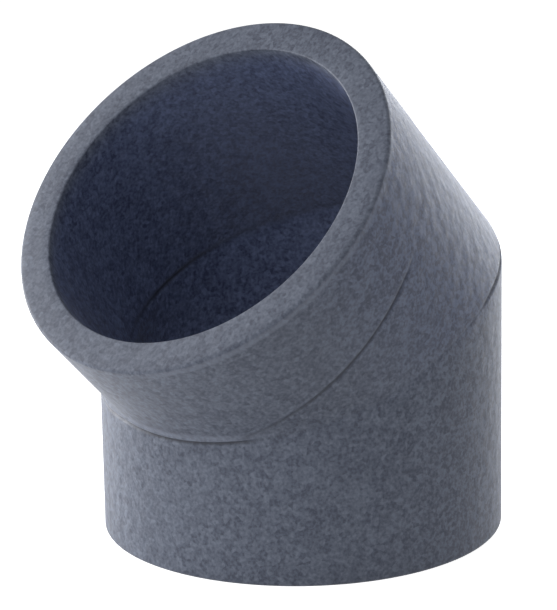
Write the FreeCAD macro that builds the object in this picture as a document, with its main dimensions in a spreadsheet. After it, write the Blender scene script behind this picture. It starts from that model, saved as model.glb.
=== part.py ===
import FreeCAD, Part
import math
import os
import Sketcher

# Insulated duct bend: a thick foam tube that turns once, at a mitre where its two legs are
# welded together. It stands on the rim of its lower leg. The origin is the bore's centre on
# that rim, +Z runs up the lower leg, and the upper leg leans over towards +X, the throat side.

doc = FreeCAD.newDocument("duct_bend")

# Driving dimensions, in millimetres and degrees
DRIVING = (
    ("bore_diameter", 160.0, "inside of both legs, a common duct size"),
    ("wall_thickness", 16.0, "foam between the bore and the outside"),
    ("bend_angle", 45.0, "turn between the two legs"),
    ("lower_leg", 106.0, "standing rim to the mitre, on the centre line"),
    ("upper_leg", 97.0, "mitre to the upper rim, on the centre line"),
    ("rim_outer_radius", 1.6, "soft outer edge of both rims"),
    ("rim_inner_radius", 0.8, "soft inner edge of both rims"),
    ("weld_seam_depth", 0.9, "groove all round the mitre, where the legs are welded"),
    ("weld_seam_width", 2.0, "mouth of that groove at the sides of the bend"),
    ("skin_seam_depth", 0.6, "slanted groove that climbs one side of the upper leg"),
    ("skin_seam_width", 1.4, "mouth of that groove"),
    ("skin_seam_start", 24.0, "degrees round the leg from the throat to where it leaves the weld"),
    ("skin_seam_sweep", 74.0, "degrees round the leg that it runs on from there"),
    ("skin_seam_pitch", 103.0, "how far it would climb in one whole turn"),
)

# Sizes that follow from the driving ones. The mitre's ellipse reaches mitre_reach from its
# centre at the heel and at the throat. The slanted seam starts on that ellipse.
DERIVED = (
    ("outer_radius", "=bore_diameter / 2 + wall_thickness"),
    ("half_bend", "=bend_angle / 2"),
    ("mitre_reach", "=outer_radius / cos(half_bend * 1deg)"),
    ("skin_seam_height", "=outer_radius * tan(half_bend * 1deg) * cos(skin_seam_start * 1deg)"),
)

sheet = doc.addObject("Spreadsheet::Sheet", "Dimensions")
for row, (alias, size, note) in enumerate(DRIVING, start=1):
    sheet.set(f"A{row}", alias)
    sheet.set(f"B{row}", str(size))
    sheet.set(f"C{row}", note)
    sheet.setAlias(f"B{row}", alias)
for row, (alias, formula) in enumerate(DERIVED, start=len(DRIVING) + 1):
    sheet.set(f"A{row}", alias)
    sheet.set(f"B{row}", formula)
    sheet.setAlias(f"B{row}", alias)
doc.recompute()

# Names for the numbers by which a sketch knows a line's ends, a circle's centre and its origin
START, END, CENTRE = 1, 2, 3
SKETCH_ORIGIN = -1

# A V cutter stands out of the skin by this many of its depths, which clears the throat, where
# the two legs close up on each other
CUTTER_REACH = 2


def size(name):
    """A size's present value, in millimetres or degrees."""
    return float(sheet.get(name))


def new_sketch(body, name, role, offset=None):
    """An empty sketch on one of the body's origin planes, shifted and turned by a formula."""
    plane = next(feature for feature in body.Origin.OriginFeatures if feature.Role == role)
    sketch = body.newObject("Sketcher::SketchObject", name)
    sketch.AttachmentSupport = [(plane, "")]
    sketch.MapMode = "FlatFace"
    if offset:
        sketch.setExpression("AttachmentOffset", offset)
    return sketch


def constrain(sketch, kind, *terms, tie=None):
    """Adds a constraint, whose value follows a formula where one is given."""
    index = sketch.addConstraint(Sketcher.Constraint(kind, *terms))
    if tie:
        sketch.setExpression(f"Constraints[{index}]", tie)


def draw_line(sketch, start, end):
    """Adds a straight line between two points of the sketch and gives its number."""
    ends = [FreeCAD.Vector(*corner, 0) for corner in (start, end)]
    return sketch.addGeometry(Part.LineSegment(*ends), False)


def draw_circle(sketch, radius, diameter_formula):
    """Adds a circle about the sketch's origin, of a diameter that follows a formula."""
    ring = Part.Circle(FreeCAD.Vector(0, 0, 0), FreeCAD.Vector(0, 0, 1), radius)
    number = sketch.addGeometry(ring, False)
    constrain(sketch, "Coincident", number, CENTRE, SKETCH_ORIGIN, START)
    constrain(sketch, "Diameter", number, 2 * radius, tie=diameter_formula)


def groove_section(body, name, offset, skin, depth, width, height=None):
    """The section of a V groove, drawn across the wall in a plane through the leg's axis.

    skin, depth, width and height name sizes. The leg's skin lies at skin from the sketch's
    Y axis, and the V is as wide as width there. Its tip lies at height along that axis.
    """
    sketch = new_sketch(body, name, "XZ_Plane", offset)
    tip_at = size(skin) - size(depth)
    mouth_at = size(skin) + CUTTER_REACH * size(depth)
    mouth_width = (1 + CUTTER_REACH) * size(width)
    level = size(height) if height else 0.0
    tip = (tip_at, level)
    lower_mouth = (mouth_at, level - mouth_width / 2)
    upper_mouth = (mouth_at, level + mouth_width / 2)
    lower_flank = draw_line(sketch, tip, lower_mouth)
    mouth = draw_line(sketch, lower_mouth, upper_mouth)
    upper_flank = draw_line(sketch, upper_mouth, tip)
    constrain(sketch, "Coincident", lower_flank, END, mouth, START)
    constrain(sketch, "Coincident", mouth, END, upper_flank, START)
    constrain(sketch, "Coincident", upper_flank, END, lower_flank, START)
    constrain(sketch, "Vertical", mouth)
    constrain(sketch, "Equal", lower_flank, upper_flank)
    constrain(sketch, "DistanceX", SKETCH_ORIGIN, START, lower_flank, START, tip_at,
              tie=f"Dimensions.{skin} - Dimensions.{depth}")
    constrain(sketch, "DistanceX", SKETCH_ORIGIN, START, mouth, START, mouth_at,
              tie=f"Dimensions.{skin} + {CUTTER_REACH} * Dimensions.{depth}")
    constrain(sketch, "DistanceY", mouth, START, mouth, END, mouth_width,
              tie=f"{1 + CUTTER_REACH} * Dimensions.{width}")
    constrain(sketch, "DistanceY", SKETCH_ORIGIN, START, lower_flank, START, level,
              tie=f"Dimensions.{height}" if height else None)
    return sketch


def edges_where(feature, test):
    """Names of those edges of a feature that pass a test."""
    numbered = enumerate(feature.Shape.Edges, start=1)
    return [f"Edge{number}" for number, edge in numbered if test(edge)]


def is_rim(edge, radius):
    """True for a whole circle of that radius, which is an edge of a rim."""
    round_edge = isinstance(edge.Curve, Part.Circle) and edge.Closed
    return round_edge and math.isclose(edge.Curve.Radius, radius)


def is_mitre(edge, reach):
    """True for a stretch of the ellipse along which the outsides of the legs meet."""
    return isinstance(edge.Curve, Part.Ellipse) and math.isclose(edge.Curve.MajorRadius, reach)


def soften(body, name, base, rim_radius, fillet_radius):
    """Rounds those edges of both rims that lie at rim_radius from the leg's axis."""
    fillet = body.newObject("PartDesign::Fillet", name)
    fillet.Base = (base, edges_where(base, lambda edge: is_rim(edge, rim_radius)))
    fillet.setExpression("Radius", f"Dimensions.{fillet_radius}")
    doc.recompute()
    return fillet


bend = doc.addObject("PartDesign::Body", "duct_bend")
bend.Label = "duct_bend"

# The bore's centre line: up the lower leg, then along the upper one
lean = math.radians(size("bend_angle"))
mitre_at = (0.0, size("lower_leg"))
upper_end = (
    size("upper_leg") * math.sin(lean),
    size("lower_leg") + size("upper_leg") * math.cos(lean),
)
centre_line = new_sketch(bend, "centre_line", "XZ_Plane")
lower_run = draw_line(centre_line, (0.0, 0.0), mitre_at)
upper_run = draw_line(centre_line, mitre_at, upper_end)
constrain(centre_line, "Coincident", lower_run, START, SKETCH_ORIGIN, START)
constrain(centre_line, "Coincident", lower_run, END, upper_run, START)
constrain(centre_line, "Vertical", lower_run)
constrain(centre_line, "Distance", lower_run, size("lower_leg"), tie="Dimensions.lower_leg")
constrain(centre_line, "Distance", upper_run, size("upper_leg"), tie="Dimensions.upper_leg")
constrain(centre_line, "Angle", lower_run, END, upper_run, START, math.pi - lean,
          tie="(180 - Dimensions.bend_angle) * 1deg")

# The wall's section, at the rim that the bend stands on
bore_radius = size("bore_diameter") / 2
wall_section = new_sketch(bend, "wall_section", "XY_Plane")
draw_circle(wall_section, bore_radius, "Dimensions.bore_diameter")
draw_circle(wall_section, size("outer_radius"), "2 * Dimensions.outer_radius")

# Both legs in one sweep that keeps a sharp mitre, in the bore and outside
legs = bend.newObject("PartDesign::AdditivePipe", "legs")
legs.Profile = wall_section
legs.Spine = (centre_line, ["Edge1", "Edge2"])
legs.Transition = "Right corner"
doc.recompute()

# Soft edges at both rims, first outside and then at the bore
soft_outside = soften(bend, "soft_outer_edges", legs, size("outer_radius"), "rim_outer_radius")
soft_rims = soften(bend, "soft_bore_edges", soft_outside, bore_radius, "rim_inner_radius")

# The weld seam: a shallow V all round the outside of the mitre. Its section is drawn at the
# throat, in a sketch that sits at the mitre's centre with its X axis in the mitre plane.
AT_MITRE = "vector(0; Dimensions.lower_leg; 0)"
weld_section = groove_section(
    bend,
    "weld_seam_section",
    offset=f"placement({AT_MITRE}; rotation(vector(0; 0; 1); -Dimensions.half_bend))",
    skin="mitre_reach",
    depth="weld_seam_depth",
    width="weld_seam_width",
)
mitre_reach = size("mitre_reach")
weld_seam = bend.newObject("PartDesign::SubtractivePipe", "weld_seam")
weld_seam.Profile = weld_section
weld_seam.Spine = (soft_rims, edges_where(soft_rims, lambda edge: is_mitre(edge, mitre_reach)))
weld_seam.Mode = "Frenet"
doc.recompute()

# The slanted seam: a shallow V along a screw line in the upper leg's skin. Its sketch has the
# leg's axis as Y axis, and is turned about it to where the seam leaves the weld.
skin_section = groove_section(
    bend,
    "skin_seam_section",
    offset=(
        f"placement({AT_MITRE}; rotation(vector(0; 0; 1); -Dimensions.bend_angle))"
        " * placement(vector(0; 0; 0); rotation(vector(0; 1; 0); Dimensions.skin_seam_start))"
    ),
    skin="outer_radius",
    depth="skin_seam_depth",
    width="skin_seam_width",
    height="skin_seam_height",
)
skin_seam = bend.newObject("PartDesign::SubtractiveHelix", "skin_seam")
skin_seam.Profile = skin_section
skin_seam.ReferenceAxis = (skin_section, ["V_Axis"])
skin_seam.Mode = "pitch-turns-angle"
skin_seam.setExpression("Pitch", "Dimensions.skin_seam_pitch")
skin_seam.setExpression("Turns", "Dimensions.skin_seam_sweep / 360")
bend.Tip = skin_seam
doc.recompute()

# Nothing is written unless every step worked and each cut took some foam away
for feature in doc.Objects:
    if "Invalid" in feature.State or "Error" in feature.State:
        raise RuntimeError(f"{feature.Name} failed: {feature.State}")
steps = (legs, soft_outside, soft_rims, weld_seam, skin_seam)
for before, after in zip(steps, steps[1:]):
    if after.Shape.Volume >= before.Shape.Volume:
        raise RuntimeError(f"{after.Name} cut nothing")
if bend.Shape.isNull() or not bend.Shape.isValid() or len(bend.Shape.Solids) != 1:
    raise RuntimeError("the bend isn't one valid solid")

os.makedirs("parts", exist_ok=True)
bend.Shape.exportStep(f"parts/{bend.Label}.step")
print(f"{bend.Label}: {bend.Shape.Volume / 1000:.1f} cubic centimetres of foam")
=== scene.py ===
# %% [markdown]
# # An insulated duct bend
#
# The real object is one piece of bead foam: a tube with a thick wall that turns by 45 degrees.
# Two straight legs are cut on a slant and welded together at the cut. The weld shows as a
# shallow seam all round, and a second, slanted seam climbs one side of the upper leg.
#
# Every shape here is in metres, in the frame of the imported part, which loads first. The part's
# box is kept, because the finished foam has to stay inside it.

# %% Load the frame
import math

import bpy
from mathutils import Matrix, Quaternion, Vector


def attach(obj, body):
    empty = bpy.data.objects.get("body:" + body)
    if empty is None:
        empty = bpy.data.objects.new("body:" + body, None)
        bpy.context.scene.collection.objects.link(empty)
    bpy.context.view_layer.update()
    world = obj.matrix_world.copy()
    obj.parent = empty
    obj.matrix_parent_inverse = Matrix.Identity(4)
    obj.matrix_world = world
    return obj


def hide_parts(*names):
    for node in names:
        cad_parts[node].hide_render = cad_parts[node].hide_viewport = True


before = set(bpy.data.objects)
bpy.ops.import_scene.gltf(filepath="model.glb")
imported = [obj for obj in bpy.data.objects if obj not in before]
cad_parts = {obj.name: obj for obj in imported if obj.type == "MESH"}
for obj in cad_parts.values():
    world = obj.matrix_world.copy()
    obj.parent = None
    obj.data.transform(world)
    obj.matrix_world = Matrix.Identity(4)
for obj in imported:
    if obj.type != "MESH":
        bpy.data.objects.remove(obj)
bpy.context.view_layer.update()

# %% [markdown]
# ## Sizes of the bend
#
# A foam bend is made to fit a duct, so the bore leads: 160 mm, inside a wall of 16 mm. The legs
# are measured on the centre line, from each rim to the mitre, the slanted plane of the weld.
# The same few numbers drive every surface below, so they stand in one table.

# %% Sizes, in metres and radians
MM = 0.001
BEND = {
    "Bore radius": 80 * MM,
    "Wall": 16 * MM,
    "Lower leg": 106 * MM,
    "Upper leg": 97 * MM,
    "Turn": math.radians(45),
    "Rim outer edge": 1.6 * MM,
    "Rim inner edge": 0.8 * MM,
}
outer_radius = BEND["Bore radius"] + BEND["Wall"]
print(f"outside diameter {outer_radius * 2 / MM:.0f} mm,",
      f"bore {BEND['Bore radius'] * 2 / MM:.0f} mm")

# %% [markdown]
# ## Formulas as nodes
#
# The bend follows a rule: each point of a straight tube moves to its place on the bent one. That
# could be worked out in Python, point by point. Geometry Nodes do it as a field instead, a
# formula that Blender works out for all points at once, and its sizes stay named inputs.
# A long formula is hard to read as single Math nodes. The small class below stands for one value
# in the tree, and each plus or times sign adds the node for it.

# %% A value that flows through a node tree
class Field:
    """One number in a node tree. Arithmetic with it adds Math nodes to the tree."""

    def __init__(self, tree, socket):
        self.tree, self.socket = tree, socket

    def math(self, operation, *others):
        node = self.tree.nodes.new("ShaderNodeMath")
        node.operation = operation
        for slot, value in zip(node.inputs, (self, *others)):
            feed(slot, value)
        return Field(self.tree, node.outputs[0])

    def __add__(self, other):
        return self.math("ADD", other)

    def __sub__(self, other):
        return self.math("SUBTRACT", other)

    def __mul__(self, other):
        return self.math("MULTIPLY", other)

    def __truediv__(self, other):
        return self.math("DIVIDE", other)

    def __pow__(self, other):
        return self.math("POWER", other)

    def __rsub__(self, other):
        return self * -1 + other

    def __neg__(self):
        return self * -1

    def __abs__(self):
        return self.math("ABSOLUTE")

    __radd__ = __add__
    __rmul__ = __mul__


# %% Nodes in one line each
def feed(slot, value):
    """Links a Field or a socket to an input, or writes a plain value into it."""
    if isinstance(value, Field):
        value = value.socket
    if isinstance(value, bpy.types.NodeSocket):
        slot.id_data.links.new(value, slot)
    else:
        slot.default_value = value


def add_node(tree, kind, inputs=(), **settings):
    """A new node. inputs is a list in the sockets' order or a dict by their names."""
    node = tree.nodes.new(kind)
    for name, value in settings.items():
        setattr(node, name, value)
    pairs = inputs.items() if isinstance(inputs, dict) else enumerate(inputs)
    for key, value in pairs:
        feed(node.inputs[key], value)
    return node


def ramp(field, start, end, low=0.0, high=1.0, smooth=False):
    """Goes from low to high while field goes from start to end, and is level beyond both."""
    kind = "SMOOTHSTEP" if smooth else "LINEAR"
    node = add_node(field.tree, "ShaderNodeMapRange", (field, start, end, low, high),
                    interpolation_type=kind)
    return Field(field.tree, node.outputs[0])


def hump(distance, half_width):
    """One where distance is nought, and falls softly to nought at half_width on both sides."""
    return ramp(abs(distance), 0.0, half_width, 1.0, 0.0, smooth=True)


# %% [markdown]
# ## The mitred tube as a formula
#
# A circle swept along a bent path would pinch in the throat. So take one straight line along the
# wall instead, at angle k round the tube. It runs up the lower leg, meets the mitre plane and
# runs on along the upper leg. The plane leans by half the turn, so that line meets it at a height
# of minus radius x tan(half turn) x cos(k), seen from the mitre's centre: low in the throat, high
# at the heel.
#
# The real foam isn't sharp there. The throat has a small fillet and the heel is soft, so each
# line bends over a short reach as a parabola. The reach grows from the throat to the heel.

# %% The tree's inputs
DETAILS = {
    "Throat reach": 3.2 * MM,
    "Heel reach": 4 * MM,
    "Bore reach": 2 * MM,
    "Weld depth": 0.8 * MM,
    "Weld half width": 1.3 * MM,
    "Skin seam depth": 0.6 * MM,
    "Skin seam half width": 1.5 * MM,
    "Skin seam start": math.radians(24),
    "Skin seam sweep": math.radians(74),
    "Skin seam pitch": 103 * MM,
    "Lip height": 0.25 * MM,
    "Bead relief": 0.05 * MM,
}
# Faces round the tube, and rows of points on each sheet of the wall
COUNTS = {"Round": 288, "Skin rows": 210, "Bore rows": 76, "Rim rows": 13}

tree = bpy.data.node_groups.new("Mitred foam bend", "GeometryNodeTree")
sockets = tree.interface
sockets.new_socket("Geometry", in_out="INPUT", socket_type="NodeSocketGeometry")
sockets.new_socket("Geometry", in_out="OUTPUT", socket_type="NodeSocketGeometry")
for name, value in {**BEND, **DETAILS, **COUNTS}.items():
    kind = "NodeSocketInt" if isinstance(value, int) else "NodeSocketFloat"
    sockets.new_socket(name, in_out="INPUT", socket_type=kind).default_value = value
sockets.new_socket("Foam", in_out="INPUT", socket_type="NodeSocketMaterial")
group_input = tree.nodes.new("NodeGroupInput")


def given(name):
    """A named input of the tree, as a Field."""
    return Field(tree, group_input.outputs[name])


print(len(BEND) + len(DETAILS) + len(COUNTS), "named sizes and counts drive the foam bend")

# %% Points on the mitred tube
slope = (given("Turn") / 2).math("TANGENT")
skin_radius = given("Bore radius") + given("Wall")


def mitre_rise(angle, radius):
    """How far along the upper leg a line at that angle starts, seen from the mitre's centre."""
    return radius * slope * angle.math("COSINE")


def bent_point(angle, radius, past_mitre, reach):
    """Where a point of the tube lies. past_mitre is its way along the line from the mitre."""
    up = ramp(past_mitre, -reach, reach, 0.0, 1.0)
    along_upper = up * up * reach + (past_mitre - reach).math("MAXIMUM", 0.0)
    along_lower = past_mitre - along_upper
    x = radius * angle.math("COSINE") + along_upper * given("Turn").math("SINE")
    z = (given("Lower leg") - mitre_rise(angle, radius) + along_lower
         + along_upper * given("Turn").math("COSINE"))
    node = add_node(tree, "ShaderNodeCombineXYZ", (x, radius * angle.math("SINE"), z))
    return node.outputs[0]


mitre_climb = 2 * outer_radius * math.tan(BEND["Turn"] / 2)
print(f"the mitre lies {mitre_climb / MM:.1f} mm higher at the heel than in the throat")


# %% Sheets of points, to be wrapped round the tube
def sheet_of_points(rows):
    """A flat grid to be wrapped. Gives it with its points' angle and place, nought to one."""
    grid = add_node(tree, "GeometryNodeMeshGrid", (1.0, 1.0, given("Round") + 1, given(rows)))
    place = add_node(tree, "GeometryNodeInputPosition")
    split = add_node(tree, "ShaderNodeSeparateXYZ", (place.outputs[0],))
    angle = (Field(tree, split.outputs["X"]) + 0.5) * math.tau
    return grid.outputs["Mesh"], angle, Field(tree, split.outputs["Y"]) + 0.5


def wrap(grid, position):
    """Moves a grid's points to their places."""
    node = add_node(tree, "GeometryNodeSetPosition", {"Geometry": grid, "Position": position})
    return node.outputs[0]


def marked(geometry, name, value):
    """Stores a value on each point, for the foam's material to read."""
    node = add_node(tree, "GeometryNodeStoreNamedAttribute",
                    {"Geometry": geometry, "Name": name, "Value": value},
                    data_type="FLOAT", domain="POINT")
    return node.outputs[0]


# %% [markdown]
# ## The seams in the skin
#
# Where the legs are welded, foam melts and leaves a shallow trough with a small lip beside it.
# On the real bend the weld wanders by a few millimetres off the ideal plane, is plain in the
# throat and at the heel, and nearly closed along the side between them. The slanted seam is a
# line on a screw: it rises evenly while it goes round the leg, and fades out at its upper end.
#
# The seams could be cut with a Boolean, but that leaves ragged triangles. Here the skin itself
# sinks by a soft hump of the distance from each seam. First come the lines that they follow, by
# the degrees round from the throat: nought in the throat, 90 at the side and 180 at the heel.

# %% Where the weld runs
IN_DEGREES = 180 / math.pi
WELD_IN_THROAT = -1.6   # millimetres past the ideal mitre, as are the next three
WELD_GAIN = 4.0         # what it climbs along the side
WELD_LOSS = 1.4         # what it loses again on the way to the heel
WELD_SAG = 3.2          # how much lower it hangs on the far side of the throat


def turned_from_throat(angle):
    """Degrees round from the throat, 0 to 180 on both sides. The second value is one on the near
    side and nought on the far side."""
    wrapped = angle.math("ADD", math.pi).math("FLOORED_MODULO", math.tau) - math.pi
    return abs(wrapped) * IN_DEGREES, ramp(wrapped, -0.001, 0.001)


def weld_shift(degrees_round, near_side):
    """How far the weld lies past the ideal mitre: below it in the throat, above at the heel."""
    gain = ramp(degrees_round, 60, 100, smooth=True)
    loss = ramp(degrees_round, 106, 126, smooth=True)
    sag = (ramp(degrees_round, 14, 34, smooth=True)
           * ramp(degrees_round, 45, 80, 1.0, 0.0, smooth=True) * (1.0 - near_side))
    return (WELD_IN_THROAT + WELD_GAIN * gain - WELD_LOSS * loss - WELD_SAG * sag) * MM


def closed_weld(degrees_round, near_side):
    """One where the weld is nearly closed: along the near side, between throat and heel."""
    return (ramp(degrees_round, 22, 32, smooth=True)
            * ramp(degrees_round, 100, 113, 1.0, 0.0, smooth=True) * near_side)


# %% Where the slanted seam runs
FADE_BEFORE_START, FADE_AFTER_START, FADE_TO_END = 1, 2, 14   # degrees
seam_start = given("Skin seam start") * IN_DEGREES
seam_end = seam_start + given("Skin seam sweep") * IN_DEGREES


def seam_climb(degrees_round):
    """Where the slanted seam lies along the upper leg, seen from the mitre's centre."""
    first = mitre_rise(given("Skin seam start"), skin_radius)
    return first + (degrees_round - seam_start) / 360 * given("Skin seam pitch")


def seam_shown(degrees_round, near_side):
    """How plain the slanted seam is: fainter near the throat, and gone past both its ends."""
    starts = ramp(degrees_round, seam_start - FADE_BEFORE_START, seam_start + FADE_AFTER_START,
                  smooth=True)
    ends = ramp(degrees_round, seam_end - FADE_TO_END, seam_end, 1.0, 0.0, smooth=True)
    return starts * ends * ramp(degrees_round, 30, 60, 0.6, 1.0, smooth=True) * near_side


# %% [markdown]
# ## Painted highlights beside the seams
#
# Light catches two bands on the real bend: the lip above the weld in the throat, and the soft
# edge behind the upper rim, on the near side. Both are painted highlights here, pale colour that
# could be painted by hand. Instead it is worked out from the same distances as the seams, and
# stored on the points, so it follows the bend when its sizes change.

# %% The two bands
BAND_ABOVE_WELD, BAND_HALF_WIDTH = 3.4 * MM, 3.2 * MM
RIM_HIGHLIGHT_WIDTH = (3.6 * MM, 5.0 * MM)   # from the rim: where the band starts to fade, and its end


def throat_highlight(from_weld, degrees_round):
    """A painted highlight above the weld in the throat, where light catches the lip."""
    return (hump(from_weld - BAND_ABOVE_WELD, BAND_HALF_WIDTH)
            * ramp(degrees_round, 12, 40, 1.0, 0.0, smooth=True))


def rim_highlight(angle, past_mitre):
    """A painted highlight behind the upper rim, on the near side, from the throat round."""
    to_rim = given("Upper leg") - mitre_rise(angle, skin_radius) - past_mitre
    return (ramp(to_rim, *RIM_HIGHLIGHT_WIDTH, 1.0, 0.0, smooth=True)
            * ramp(angle.math("SINE"), 0.1, 0.5, smooth=True))


# %% How deep the skin sinks at a point
CLOSED_BY = 0.85
WELD_LIP_AWAY, WELD_LIP_HALF_WIDTH = 1.8 * MM, 1.4 * MM
SEAM_LIP_AWAY, SEAM_LIP_HALF_WIDTH = 2.0 * MM, 1.5 * MM


def skin_seams(angle, past_mitre):
    """How far the skin sinks at its seams, less what their lips rise, how dark its seams are,
    for melted foam and painted shade in the grooves, and where highlights are painted."""
    degrees_round, near_side = turned_from_throat(angle)
    from_weld = past_mitre - weld_shift(degrees_round, near_side)
    closed = closed_weld(degrees_round, near_side)
    weld = hump(from_weld, given("Weld half width")) * (1.0 - CLOSED_BY * closed)
    # The weld's lip is above it in the throat and below it at the heel
    lip_side = WELD_LIP_AWAY * ramp(degrees_round, 30, 80, 1.0, -1.0, smooth=True)
    weld_lip = hump(from_weld - lip_side, WELD_LIP_HALF_WIDTH) * (1.0 - closed)

    from_seam = past_mitre + mitre_rise(angle, skin_radius) - seam_climb(degrees_round)
    shown = seam_shown(degrees_round, near_side)
    seam = hump(from_seam, given("Skin seam half width")) * shown
    seam_lip = hump(from_seam - SEAM_LIP_AWAY, SEAM_LIP_HALF_WIDTH) * shown

    # The lips fade out at both sides of the bend, where the skin touches the part's box
    inside_the_box = ramp(abs(angle.math("SINE")), 0.97, 0.997, 1.0, 0.0)
    lips = (weld_lip + seam_lip) * given("Lip height") * inside_the_box
    sink = weld * given("Weld depth") + seam * given("Skin seam depth") - lips
    # Painted highlights: pale on the lips, above the weld in the throat and behind the upper rim
    painted_highlight = (throat_highlight(from_weld, degrees_round)
            .math("MAXIMUM", weld_lip * 0.7).math("MAXIMUM", seam_lip * 0.5)
            .math("MAXIMUM", rim_highlight(angle, past_mitre)))
    return sink, weld.math("MAXIMUM", seam), painted_highlight


# %% [markdown]
# ## Four sheets make the foam
#
# The wall's surface is a closed loop: up the skin, over the upper rim, down the bore and over
# the standing rim. Each stretch is one sheet of points wrapped round the tube. The rows of the
# skin crowd together at the weld and along the slanted seam, where the shape is fine, and
# spread out on the plain foam, so the piece stays light. The bore's rows crowd at the mitre,
# where the two bores meet in a shallow crease that is plain only on the far side.

# %% The skin
ROWS_TO_WELD, ROWS_TO_SEAM = 0.42, 0.70   # the share of the skin's rows below each
CROWD_LOWER, CROWD_UPPER = 1.6, 1.4       # over 1, the rows crowd towards the seams
LEAST_GAP = 6 * MM                        # the seam's rows stay this far past the mitre


def leg_lengths(angle, radius, edge):
    """A line's run on the lower and on the upper leg, each from the mitre to the rim's edge."""
    rise = mitre_rise(angle, radius)
    return given("Lower leg") - rise - edge, given("Upper leg") - rise - edge


sheet, angle, place = sheet_of_points("Skin rows")
lower_run, upper_run = leg_lengths(angle, skin_radius, given("Rim outer edge"))
degrees_round, near_side = turned_from_throat(angle)
weld_at = weld_shift(degrees_round, near_side)
seam_at = seam_climb(degrees_round) - mitre_rise(angle, skin_radius)
seam_at = seam_at.math("MAXIMUM", LEAST_GAP)
below_weld = 1.0 - ramp(place, 0.0, ROWS_TO_WELD)
between = ramp(place, ROWS_TO_WELD, ROWS_TO_SEAM, smooth=True)
above_seam = ramp(place, ROWS_TO_SEAM, 1.0)
past_mitre = (weld_at - below_weld ** CROWD_LOWER * (lower_run + weld_at)
              + between * (seam_at - weld_at)
              + above_seam ** CROWD_UPPER * (upper_run - seam_at))
towards_heel = (1.0 - angle.math("COSINE")) / 2
reach = given("Throat reach") + towards_heel * (given("Heel reach") - given("Throat reach"))
sink, melted_and_shaded, painted_highlight = skin_seams(angle, past_mitre)
# Painted shade from the side on: stronger speckle, and a darker, bluer upper leg's back
grain_shade = ramp(degrees_round, 50, 110, smooth=True)
painted_shade = grain_shade * ramp(past_mitre, -12 * MM, 12 * MM, 0.1, 0.6, smooth=True)
for name, value in (("seam", melted_and_shaded), ("painted_highlight", painted_highlight), ("grain_shade", grain_shade), ("painted_shade", painted_shade)):
    sheet = marked(sheet, name, value)
skin = wrap(sheet, bent_point(angle, skin_radius - sink, past_mitre, reach))
print(COUNTS["Round"] * (COUNTS["Skin rows"] - 1), "faces in the skin")

# %% The bore
CROWD_BORE = 1.8
CREASE_AT, CREASE_HALF_WIDTH = 3 * MM, 2.4 * MM   # past the mitre
OPEN_AT, OPEN_HALF_WIDTH = 88, 36                 # degrees round from the throat
FAINT = 0.22                                      # the crease's depth where it is closed

sheet, angle, place = sheet_of_points("Bore rows")
lower_run, upper_run = leg_lengths(angle, given("Bore radius"), given("Rim inner edge"))
from_upper_rim = 1.0 - ramp(place, 0.0, 0.5)
to_lower_rim = ramp(place, 0.5, 1.0)
past_mitre = from_upper_rim ** CROWD_BORE * upper_run - to_lower_rim ** CROWD_BORE * lower_run
degrees_round, near_side = turned_from_throat(angle)
open_there = hump(degrees_round - OPEN_AT, OPEN_HALF_WIDTH) * (1.0 - near_side) + FAINT
crease = hump(past_mitre - CREASE_AT, CREASE_HALF_WIDTH) * open_there
# Painted shade: the whole bore takes a darker, bluer foam
painted_shade = ramp(place, 0.0, 0.02)   # the whole bore, from its first rows at the upper rim on
# The crease darkens like the seams: melted foam, with painted shade in the groove
sheet = marked(marked(sheet, "seam", crease), "painted_shade", painted_shade)
bore = wrap(sheet, bent_point(angle, given("Bore radius") + crease * given("Weld depth"),
                              past_mitre, given("Bore reach")))
print(COUNTS["Round"] * (COUNTS["Bore rows"] - 1), "faces in the bore")

# %% The two rims
RIM_STEPS = COUNTS["Rim rows"] - 1
OUTER_EDGE_ENDS, FLAT_RING_ENDS = 5 / RIM_STEPS, 8 / RIM_STEPS


def rim(upper):
    """One rim: the soft outer edge, the flat ring and the soft inner edge."""
    sheet, angle, place = sheet_of_points("Rim rows")
    outer, inner = given("Rim outer edge"), given("Rim inner edge")
    if not upper:
        place = 1.0 - place   # wrapped the other way, so that its faces point down
    over_outer = ramp(place, 0.0, OUTER_EDGE_ENDS, 0.0, math.pi / 2)
    across = ramp(place, OUTER_EDGE_ENDS, FLAT_RING_ENDS)
    over_inner = ramp(place, FLAT_RING_ENDS, 1.0, 0.0, math.pi / 2)
    flat = given("Wall") - outer - inner
    radius = (skin_radius - outer * (1.0 - over_outer.math("COSINE")) - flat * across
              - inner * over_inner.math("SINE"))
    under = (outer * (1.0 - over_outer.math("SINE"))
             + inner * (1.0 - over_inner.math("COSINE")))
    rise = mitre_rise(angle, radius)
    if upper:
        past_mitre = given("Upper leg") - under - rise
    else:
        past_mitre = rise - given("Lower leg") + under
    return wrap(marked(sheet, "cut", ramp(place, 0.1, 0.4)),
                bent_point(angle, radius, past_mitre, given("Bore reach")))


upper_rim, standing_rim = rim(True), rim(False)
print(COUNTS["Round"] * RIM_STEPS, "faces in each rim")

# %% [markdown]
# ## From sheets to one foam body
#
# The four sheets meet edge to edge, so merging the doubled points closes the body, with no
# seam line where a sheet's ends meet. Then all of it gets the slight unevenness of fused beads,
# a shallow noise along the normals, only ever inwards so that the size stays true.

# %% Join, close and finish
MERGE_WITHIN = 0.004 * MM
UNEVENNESS = 190.0   # rises and dips per metre, so one every 5 mm or so

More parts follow.
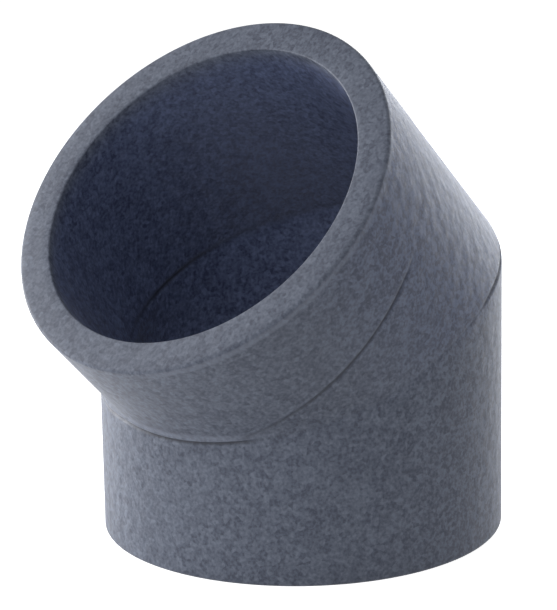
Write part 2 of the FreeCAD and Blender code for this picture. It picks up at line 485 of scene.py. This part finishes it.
joined = tree.nodes.new("GeometryNodeJoinGeometry")
for piece in (skin, upper_rim, bore, standing_rim):
    tree.links.new(piece, joined.inputs[0])
closed_body = add_node(tree, "GeometryNodeMergeByDistance",
                       {"Geometry": joined.outputs[0], "Distance": MERGE_WITHIN})
unevenness = add_node(tree, "ShaderNodeTexNoise", {"Scale": UNEVENNESS, "Detail": 2.0})
normal = add_node(tree, "GeometryNodeInputNormal")
inwards = Field(tree, unevenness.outputs["Fac"]) * given("Bead relief") * -1
offset = add_node(tree, "ShaderNodeVectorMath", {0: normal.outputs[0], "Scale": inwards},
                  operation="SCALE")
uneven = add_node(tree, "GeometryNodeSetPosition",
                  {"Geometry": closed_body.outputs[0], "Offset": offset.outputs[0]})
smooth = add_node(tree, "GeometryNodeSetShadeSmooth", {"Geometry": uneven.outputs[0]})
real = add_node(tree, "GeometryNodeRealizeInstances", {"Geometry": smooth.outputs[0]})
painted = add_node(tree, "GeometryNodeSetMaterial",
                   {"Geometry": real.outputs[0], "Material": group_input.outputs["Foam"]})
group_output = tree.nodes.new("NodeGroupOutput")
tree.links.new(painted.outputs[0], group_output.inputs[0])
print(len(tree.nodes), "nodes in the tree")

# %% [markdown]
# ## The foam's finish
#
# Bead foam is thousands of small beads fused in a mould. Each bead is a slightly different grey,
# and the skin has a fine grain that takes light softly: matt, with a pale bloom where it is seen
# at a grazing angle. A picture of foam could be wrapped round the bend, but it would stretch at
# the mitre. The beads are Voronoi cells on Object coordinates instead, in metres, so they have
# one size everywhere and need no unwrapping. Beads, grain and soft pimples also raise the bump
# that breaks up the gleam. The bloom is the shader's own sheen.
#
# The values stored on the points vary the finish. The speckle grows stronger towards the heel,
# painted shade of the grain where light grazes it. The bore and the upper leg's back are painted
# darker and bluer, as shade. The foam is smoother and a little darker on the cut rims. Painted
# highlights lie on the seams' lips, above the weld in the throat and behind the upper rim, and
# the seams are dark: melted foam, with painted shade in their grooves.

# %% Sizes, strengths and colours of the pattern
BEAD = 1 / (2.6 * MM)
GRAIN = 1 / (1.6 * MM)
PIMPLE = 1 / (6 * MM)
CLOUD = 22.0
NOISE_RANGE = (0.3, 0.7)   # most of a noise texture's values lie between these
BEAD_CONTRAST, GRAIN_CONTRAST, CLOUD_CONTRAST = 0.30, 0.50, 0.08
BEAD_DOME, GRAIN_HEIGHT, PIMPLE_HEIGHT = 0.3, 0.25, 3.6
BUMP_DEPTH, BUMP_STRENGTH = 0.25 * MM, 0.6
DARK_FOAM = (0.030, 0.037, 0.062, 1)
PALE_FOAM = (0.130, 0.150, 0.198, 1)
# Painted shade: a darker, bluer foam for the bore and the upper leg's back
SHADED_DARK_FOAM = (0.022, 0.029, 0.068, 1)
SHADED_PALE_FOAM = (0.104, 0.132, 0.232, 1)
# Painted highlight: the pale foam beside the seams and behind the upper rim
HIGHLIGHT_FOAM = (0.210, 0.235, 0.300, 1)
# Melted foam in the seams, with painted shade in their grooves
MELTED_AND_SHADED_FOAM = (0.014, 0.016, 0.026, 1)
print(f"beads {1000 / BEAD:.1f} mm, grain {1000 / GRAIN:.1f} mm, pimples {1000 / PIMPLE:.0f} mm")


# %% Helpers for materials
def shade(name):
    """A new material with an empty node tree and its output node."""
    material = bpy.data.materials.new(name)
    material.use_nodes = True
    material.node_tree.nodes.clear()
    return material, material.node_tree, material.node_tree.nodes.new("ShaderNodeOutputMaterial")


def blend(tree, factor, dark, light):
    """The colour between two others. Either may be a socket or four plain numbers."""
    node = add_node(tree, "ShaderNodeMix", data_type="RGBA")
    for slot, value in zip((0, 6, 7), (factor, dark, light)):
        feed(node.inputs[slot], value)
    return node.outputs[2]


# %% Patterns in the foam
foam, foam_tree, foam_output = shade("Blue-grey bead foam")
spot = add_node(foam_tree, "ShaderNodeTexCoord").outputs["Object"]


def noise(scale, detail):
    """A soft pattern through the foam, as a Field."""
    node = add_node(foam_tree, "ShaderNodeTexNoise",
                    {"Vector": spot, "Scale": scale, "Detail": detail})
    return Field(foam_tree, node.outputs["Fac"])


def stored(name):
    """A value that the geometry tree stored on the foam's points."""
    node = add_node(foam_tree, "ShaderNodeAttribute", attribute_name=name)
    return Field(foam_tree, node.outputs["Fac"])


beads = add_node(foam_tree, "ShaderNodeTexVoronoi", {"Vector": spot, "Scale": BEAD})
bead_colour = add_node(foam_tree, "ShaderNodeSeparateColor", (beads.outputs["Color"],))
bead_tone = Field(foam_tree, bead_colour.outputs[0])
from_bead_centre = Field(foam_tree, beads.outputs["Distance"])
grain, clouds, pimples = noise(GRAIN, 3.0), noise(CLOUD, 3.0), noise(PIMPLE, 0.4)

# %% The foam's colour
speckle = (ramp(bead_tone, 0.0, 1.0, -BEAD_CONTRAST, BEAD_CONTRAST)
           + ramp(grain, *NOISE_RANGE, -GRAIN_CONTRAST, GRAIN_CONTRAST))
# Painted shade of the grain: the speckle grows stronger towards the heel
contrast = 0.8 + stored("grain_shade") * 0.75 - stored("cut") * 0.1
cloudy = ramp(clouds, *NOISE_RANGE, -CLOUD_CONTRAST, CLOUD_CONTRAST)
tone = (speckle * contrast - stored("cut") * 0.1 + cloudy + 0.5).math("MAXIMUM", 0.0)
# Painted shade: a darker, bluer foam in the bore and on the upper leg's back
speckled = blend(foam_tree, stored("painted_shade"), blend(foam_tree, tone, DARK_FOAM, PALE_FOAM),
                 blend(foam_tree, tone, SHADED_DARK_FOAM, SHADED_PALE_FOAM))
# Painted highlights beside the seams and behind the upper rim
highlit = blend(foam_tree, stored("painted_highlight") * 0.4, speckled, HIGHLIGHT_FOAM)
# The seams are dark: melted foam, with painted shade in their grooves
colour = blend(foam_tree, stored("seam") * 0.8, highlit, MELTED_AND_SHADED_FOAM)

# %% The foam's surface
dome = ramp(from_bead_centre, 0.0, 0.75, BEAD_DOME, 0.0)
height = dome + pimples * PIMPLE_HEIGHT + grain * GRAIN_HEIGHT
moulded = 1.0 - stored("cut") * 0.7
bump = add_node(foam_tree, "ShaderNodeBump", {
    "Strength": moulded * BUMP_STRENGTH, "Distance": BUMP_DEPTH, "Height": height})
roughness = ramp(grain, *NOISE_RANGE, 0.52, 0.66)
skin_shader = add_node(foam_tree, "ShaderNodeBsdfPrincipled", {
    "Base Color": colour, "Roughness": roughness, "Normal": bump.outputs[0],
    "Specular IOR Level": 0.4, "Sheen Weight": 0.04, "Sheen Roughness": 0.4})
foam_tree.links.new(skin_shader.outputs[0], foam_output.inputs["Surface"])
print(len(foam_tree.nodes), "nodes in the foam's material")

# %% [markdown]
# ## Make the foam bend
#
# The tree runs on an empty mesh object. Its inputs are set by their identifiers before Blender
# first evaluates it. The result is then kept as a plain mesh and the modifier goes away, so the
# piece is only its finished surface.

# %% The piece
start_mesh = bpy.data.meshes.new("start")
maker = bpy.data.objects.new("maker", start_mesh)
bpy.context.scene.collection.objects.link(maker)
modifier = maker.modifiers.new("Mitred foam bend", "NODES")
modifier.node_group = tree
identifiers = {item.name: item.identifier for item in sockets.items_tree
               if item.in_out == "INPUT"}
for name, value in {**BEND, **DETAILS, **COUNTS, "Foam": foam}.items():
    modifier[identifiers[name]] = value
graph = bpy.context.evaluated_depsgraph_get()
bend_mesh = bpy.data.meshes.new_from_object(maker.evaluated_get(graph))
bpy.data.objects.remove(maker)
bend_mesh.name = "foam_bend"
bend = bpy.data.objects.new("foam_bend", bend_mesh)
bpy.context.scene.collection.objects.link(bend)
print(len(bend_mesh.vertices), "points,", len(bend_mesh.polygons), "faces,",
      sum(len(face.vertices) - 2 for face in bend_mesh.polygons), "triangles")

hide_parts("duct_bend")
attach(bend, "root")

# %% [markdown]
# ## Floor and background
#
# The photograph's background is pure white. More light would bleach the foam, so the white comes
# from the floor's and the world's own colour as the camera and mirrors see it. The paper itself
# takes the bend's shadow, but its glow is so strong that the shadow comes out white as well, as
# on the photograph's ground. A weaker glow would let it show.

# %% Floor
FLOOR_REACH = 6.0


def seen(tree):
    """One for a ray from the camera or off a glossy surface, and nought for every other ray."""
    rays = add_node(tree, "ShaderNodeLightPath")
    from_camera = Field(tree, rays.outputs["Is Camera Ray"])
    return from_camera.math("MAXIMUM", rays.outputs["Is Glossy Ray"])


floor_mesh = bpy.data.meshes.new("floor")
floor_mesh.from_pydata(
    [(x * FLOOR_REACH, y * FLOOR_REACH, 0) for x, y in ((-1, -1), (1, -1), (1, 1), (-1, 1))],
    [], [(0, 1, 2, 3)])
floor = bpy.data.objects.new("floor", floor_mesh)
bpy.context.scene.collection.objects.link(floor)
paper, paper_tree, paper_output = shade("White paper")
paper_skin = add_node(paper_tree, "ShaderNodeBsdfDiffuse", {"Color": (0.88, 0.88, 0.88, 1)})
glow = add_node(paper_tree, "ShaderNodeEmission",
                {"Color": (1, 1, 1, 1), "Strength": seen(paper_tree) * 0.9})
both = add_node(paper_tree, "ShaderNodeAddShader", (paper_skin.outputs[0], glow.outputs[0]))
paper_tree.links.new(both.outputs[0], paper_output.inputs["Surface"])
floor_mesh.materials.append(paper)
print(f"floor {2 * FLOOR_REACH:.0f} m across")

# %% World
ROOM_LIGHT = 0.22   # what the foam gets from all round. Where it is seen, the world is white.

world = bpy.data.worlds.new("Studio")
bpy.context.scene.world = world
world.use_nodes = True
world_tree = world.node_tree
world_tree.nodes.clear()
world_output = world_tree.nodes.new("ShaderNodeOutputWorld")
background = add_node(world_tree, "ShaderNodeBackground", {
    "Color": (1, 1, 1, 1), "Strength": ramp(seen(world_tree), 0.0, 1.0, ROOM_LIGHT, 1.0)})
world_tree.links.new(background.outputs[0], world_output.inputs["Surface"])
print("the world lights the foam at", ROOM_LIGHT)

# %% [markdown]
# ## Studio light
#
# The side towards the camera is the darkest in the photograph, so the strong lamps stand aside.
# A large soft one on the left lights the lower leg's left side. One on the right, behind the
# bend, gives the broad pale gleam on the upper leg. Three weak ones fill in: low on the right,
# near the throat, and above the camera's left for the bore.

# %% Lamps
SOFTBOXES = {
    "left": {"at": (0.196, -0.864, 0.307), "aim": (0.03, 0, 0.12), "size": 0.5, "watts": 9.8},
    "right_back": {"at": (-0.83, -0.19, 0.28), "aim": (0.03, 0, 0.12), "size": 0.7,
                   "watts": 6.6, "colour": (0.92, 0.95, 1.0)},
    "low_right": {"at": (-0.50, 0.12, 0.05), "aim": (0, 0.03, 0.03), "size": 0.25,
                  "watts": 0.4, "colour": (0.90, 0.94, 1.0)},
    "left_front": {"at": (0.50, -0.13, 0.224), "aim": (0.07, 0, 0.17), "size": 0.3, "watts": 0.8},
    "front": {"at": (0.581, 0.318, 0.756), "aim": (0.03, 0, 0.12), "size": 0.5, "watts": 2.3},
}
for name, box in SOFTBOXES.items():
    data = bpy.data.lights.new(name, "AREA")
    data.shape, data.size, data.energy = "SQUARE", box["size"], box["watts"]
    data.color = box.get("colour", (1, 1, 1))
    lamp = bpy.data.objects.new(name, data)
    lamp.visible_camera = False
    lamp.location = box["at"]
    lamp.rotation_mode = "QUATERNION"
    lamp.rotation_quaternion = (Vector(box["aim"]) - lamp.location).to_track_quat("-Z", "Y")
    bpy.context.scene.collection.objects.link(lamp)
total_watts = sum(box["watts"] for box in SOFTBOXES.values())
print(f"{len(SOFTBOXES)} lamps, {total_watts:.1f} W in all")

# %% [markdown]
# ## Camera
#
# The camera's place and lens come from the bend's outlines in the photograph: a long lens from
# about 1.35 m away, a little above the bend, with a slight roll.

# %% Camera
CAMERA_AT = Vector((0.99213, 0.84589, 0.45791))
AIM_AT = Vector((0.00642, -0.00782, 0.10684))
ROLL = math.radians(-1.0417)
lens = bpy.data.cameras.new("camera")
lens.lens = 167.306
lens.sensor_width = 36.0
lens.clip_start, lens.clip_end = 0.05, 50.0
camera = bpy.data.objects.new("camera", lens)
camera.location = CAMERA_AT
camera.rotation_mode = "QUATERNION"
camera.rotation_quaternion = ((AIM_AT - CAMERA_AT).to_track_quat("-Z", "Y")
                              @ Quaternion((0, 0, 1), ROLL))
bpy.context.scene.collection.objects.link(camera)
bpy.context.scene.camera = camera
bpy.context.scene.view_settings.view_transform = "Standard"
print(f"camera {(AIM_AT - CAMERA_AT).length:.2f} m away, {lens.lens:.0f} mm lens")
